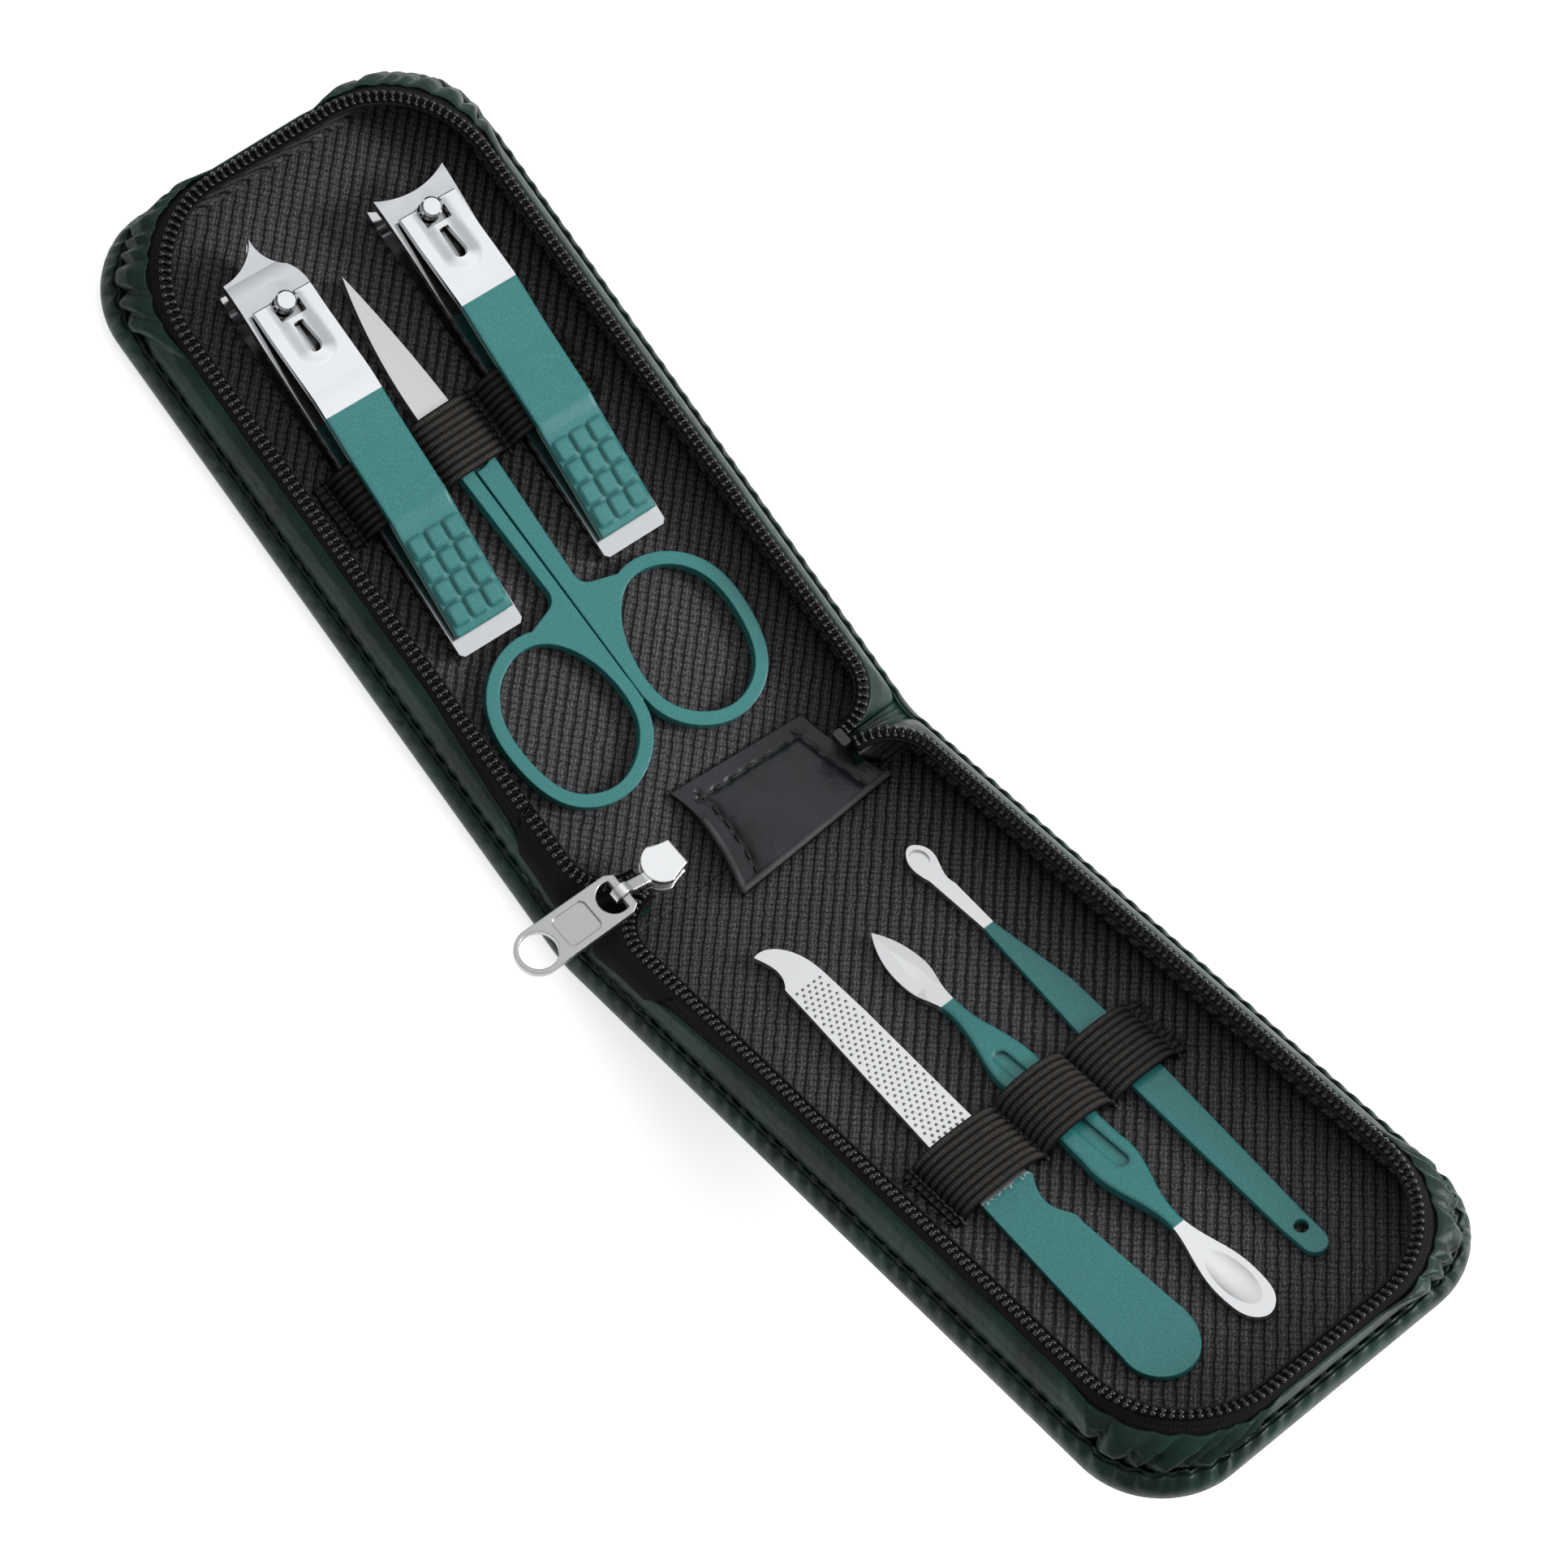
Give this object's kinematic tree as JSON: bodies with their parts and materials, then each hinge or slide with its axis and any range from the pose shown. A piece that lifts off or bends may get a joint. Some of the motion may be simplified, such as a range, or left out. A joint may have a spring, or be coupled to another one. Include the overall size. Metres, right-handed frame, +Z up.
{
  "type": "manicure set case",
  "caption": "Folding zip-up leather case, lying open, with nail clippers, scissors, file, cuticle pusher and ear pick held by elastic straps.",
  "frame": {"origin": "on the table at the middle of the fold, at the fold edge of the half that lies flat", "axes": "+X along the fold, +Y into the half that lies flat, +Z up"},
  "size_m": [0.0721, 0.2188, 0.0678],
  "materials": {
    "green_leather": "smooth dark green imitation leather",
    "lining_cloth": "charcoal woven lining",
    "board": "stiffener board",
    "zip_tape": "black woven tape",
    "zip_teeth": "black nylon coil",
    "black_leather": "smooth black imitation leather",
    "elastic": "ribbed black elastic webbing",
    "chrome": "bright plated steel",
    "teal_coat": "teal lacquer on steel, bright steel where bare"
  },
  "bodies": {
    "case_a": {"outer_cover_a": "green_leather", "side_band_a": "green_leather", "stiffener_board_a": "board", "floor_lining_a": "lining_cloth", "wall_lining_a": "lining_cloth", "zip_tape_a": "zip_tape", "zip_coil_a": "zip_teeth", "zip_end_a": "zip_tape", "spine": "green_leather", "fold_lining": "lining_cloth", "hinge_patch": "black_leather", "zip_end_stop": "zip_teeth", "elastic_band_a": "elastic"},
    "tray_b": {"outer_cover_b": "green_leather", "side_band_b": "green_leather", "stiffener_board_b": "board", "floor_lining_b": "lining_cloth", "wall_lining_b": "lining_cloth", "zip_tape_b": "zip_tape", "zip_coil_b": "zip_teeth", "zip_end_b": "zip_tape", "elastic_band_b": "elastic"},
    "slider": {"zip_slider": "chrome"},
    "pull": {"zip_pull": "chrome"},
    "straight_jaws": {"straight_lower_jaw": "chrome", "straight_upper_jaw": "chrome", "straight_rivet": "chrome"},
    "straight_post": {"straight_post": "chrome"},
    "straight_lever": {"straight_lever": "teal_coat"},
    "slant_jaws": {"slant_lower_jaw": "chrome", "slant_upper_jaw": "chrome", "slant_rivet": "chrome"},
    "slant_post": {"slant_post": "chrome"},
    "slant_lever": {"slant_lever": "teal_coat"},
    "scissors_right": {"scissors_right_half": "teal_coat", "scissors_screw": "chrome"},
    "scissors_left": {"scissors_left_half": "teal_coat"},
    "nail_file_tool": {"nail_file": "teal_coat"},
    "cuticle_pusher_tool": {"cuticle_pusher": "teal_coat"},
    "ear_pick_tool": {"ear_pick": "teal_coat"}
  },
  "joints": [
    {"name": "case_fold", "type": "hinge", "parent": "case_a", "child": "tray_b", "pos_m": [0, 0, 0.0106], "axis": [1, 0, 0], "range_deg": [-149.5, 30.5], "deforming": ["spine", "fold_lining", "hinge_patch", "zip_end_a", "zip_end_b"]},
    {"name": "slider_turn", "type": "hinge", "parent": "case_a", "child": "slider", "pos_m": [0, 0, 0.0106], "axis": [1, 0, 0], "range_deg": [-74.75, 15.25]},
    {"name": "pull_swing", "type": "hinge", "parent": "slider", "child": "pull", "pos_m": [-0.0225, 0.00046, 0.01229], "axis": [0, 0.9648, -0.263], "range_deg": [0, 160]},
    {"name": "straight_slide", "type": "slide", "parent": "case_a", "child": "straight_jaws", "axis": [0.0316, 0.9995, 0], "range_m": [0, 0.006]},
    {"name": "straight_post_turn", "type": "hinge", "parent": "straight_jaws", "child": "straight_post", "pos_m": [0.0138, 0.09307, 0.0097], "axis": [0, 0, 1], "range_deg": [-8, 10]},
    {"name": "straight_lever_lift", "type": "hinge", "parent": "straight_post", "child": "straight_lever", "pos_m": [0.0138, 0.09307, 0.0097], "axis": [-0.9995, 0.0316, 0], "range_deg": [0, 150]},
    {"name": "slant_slide", "type": "slide", "parent": "case_a", "child": "slant_jaws", "axis": [0.0384, 0.9993, 0], "range_m": [0, 0.006]},
    {"name": "slant_post_turn", "type": "hinge", "parent": "slant_jaws", "child": "slant_post", "pos_m": [-0.01164, 0.09276, 0.0097], "axis": [0, 0, 1], "range_deg": [-10, 6]},
    {"name": "slant_lever_lift", "type": "hinge", "parent": "slant_post", "child": "slant_lever", "pos_m": [-0.01164, 0.09276, 0.0097], "axis": [-0.9993, 0.0384, 0], "range_deg": [0, 150]},
    {"name": "scissors_slide", "type": "slide", "parent": "case_a", "child": "scissors_right", "axis": [0, -1, 0], "range_m": [0, 0.003]},
    {"name": "scissors_open", "type": "hinge", "parent": "scissors_right", "child": "scissors_left", "pos_m": [-0.0007, 0.064, 0.0035], "axis": [0, 0, -1], "range_deg": [0, 6]},
    {"name": "nail_file_slide", "type": "slide", "parent": "tray_b", "child": "nail_file_tool", "axis": [0, -0.8616, 0.5075], "range_m": [0, 0.008]},
    {"name": "cuticle_pusher_slide", "type": "slide", "parent": "tray_b", "child": "cuticle_pusher_tool", "axis": [0, -0.8616, 0.5075], "range_m": [0, 0.008]},
    {"name": "ear_pick_slide", "type": "slide", "parent": "tray_b", "child": "ear_pick_tool", "axis": [0, -0.8616, 0.5075], "range_m": [0, 0.008]}
  ],
  "couplings": [
    {"joint": "slider_turn", "follows": "case_fold", "ratio": 0.5}
  ]
}
